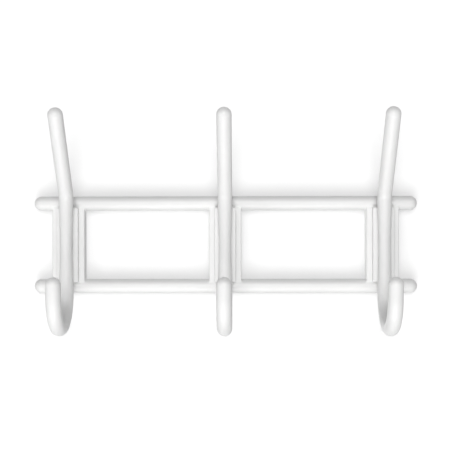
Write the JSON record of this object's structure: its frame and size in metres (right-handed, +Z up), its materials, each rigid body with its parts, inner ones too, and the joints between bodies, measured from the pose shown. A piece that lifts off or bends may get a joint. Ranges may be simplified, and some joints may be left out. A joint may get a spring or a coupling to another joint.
{
  "type": "wall coat rack",
  "caption": "Wall coat rack in white powder-coated steel: round rails with domed ends carry bent-rod hooks, each with a leaning hat hook above and a U-shaped coat hook below.",
  "frame": {"origin": "on the wall plane that the rails touch, at the middle of the rack's length, halfway between the rails' centre lines", "axes": "+X along the rails, to the right as seen from the front; +Y into the wall, so the hooks reach out along -Y; +Z up"},
  "size_m": [0.4, 0.104, 0.2243],
  "materials": {
    "white_powder_coat": "smooth satin powder coat on steel",
    "zinc_plated_steel": "zinc plated"
  },
  "bodies": {
    "root": {"top_rail": "white_powder_coat", "bottom_rail": "white_powder_coat", "left_wall_channel": "white_powder_coat", "left_hook_plate": "white_powder_coat", "left_hook_rod": "white_powder_coat", "left_rod_welds": "white_powder_coat", "left_top_weld": "white_powder_coat", "left_bottom_weld": "white_powder_coat", "left_upper_hook_screw": "zinc_plated_steel", "left_lower_hook_screw": "zinc_plated_steel", "centre_wall_channel": "white_powder_coat", "centre_hook_plate": "white_powder_coat", "centre_hook_rod": "white_powder_coat", "centre_rod_welds": "white_powder_coat", "centre_top_weld": "white_powder_coat", "centre_bottom_weld": "white_powder_coat", "centre_upper_hook_screw": "zinc_plated_steel", "centre_lower_hook_screw": "zinc_plated_steel", "right_wall_channel": "white_powder_coat", "right_hook_plate": "white_powder_coat", "right_hook_rod": "white_powder_coat", "right_rod_welds": "white_powder_coat", "right_top_weld": "white_powder_coat", "right_bottom_weld": "white_powder_coat", "right_upper_hook_screw": "zinc_plated_steel", "right_lower_hook_screw": "zinc_plated_steel"}
  },
  "joints": []
}
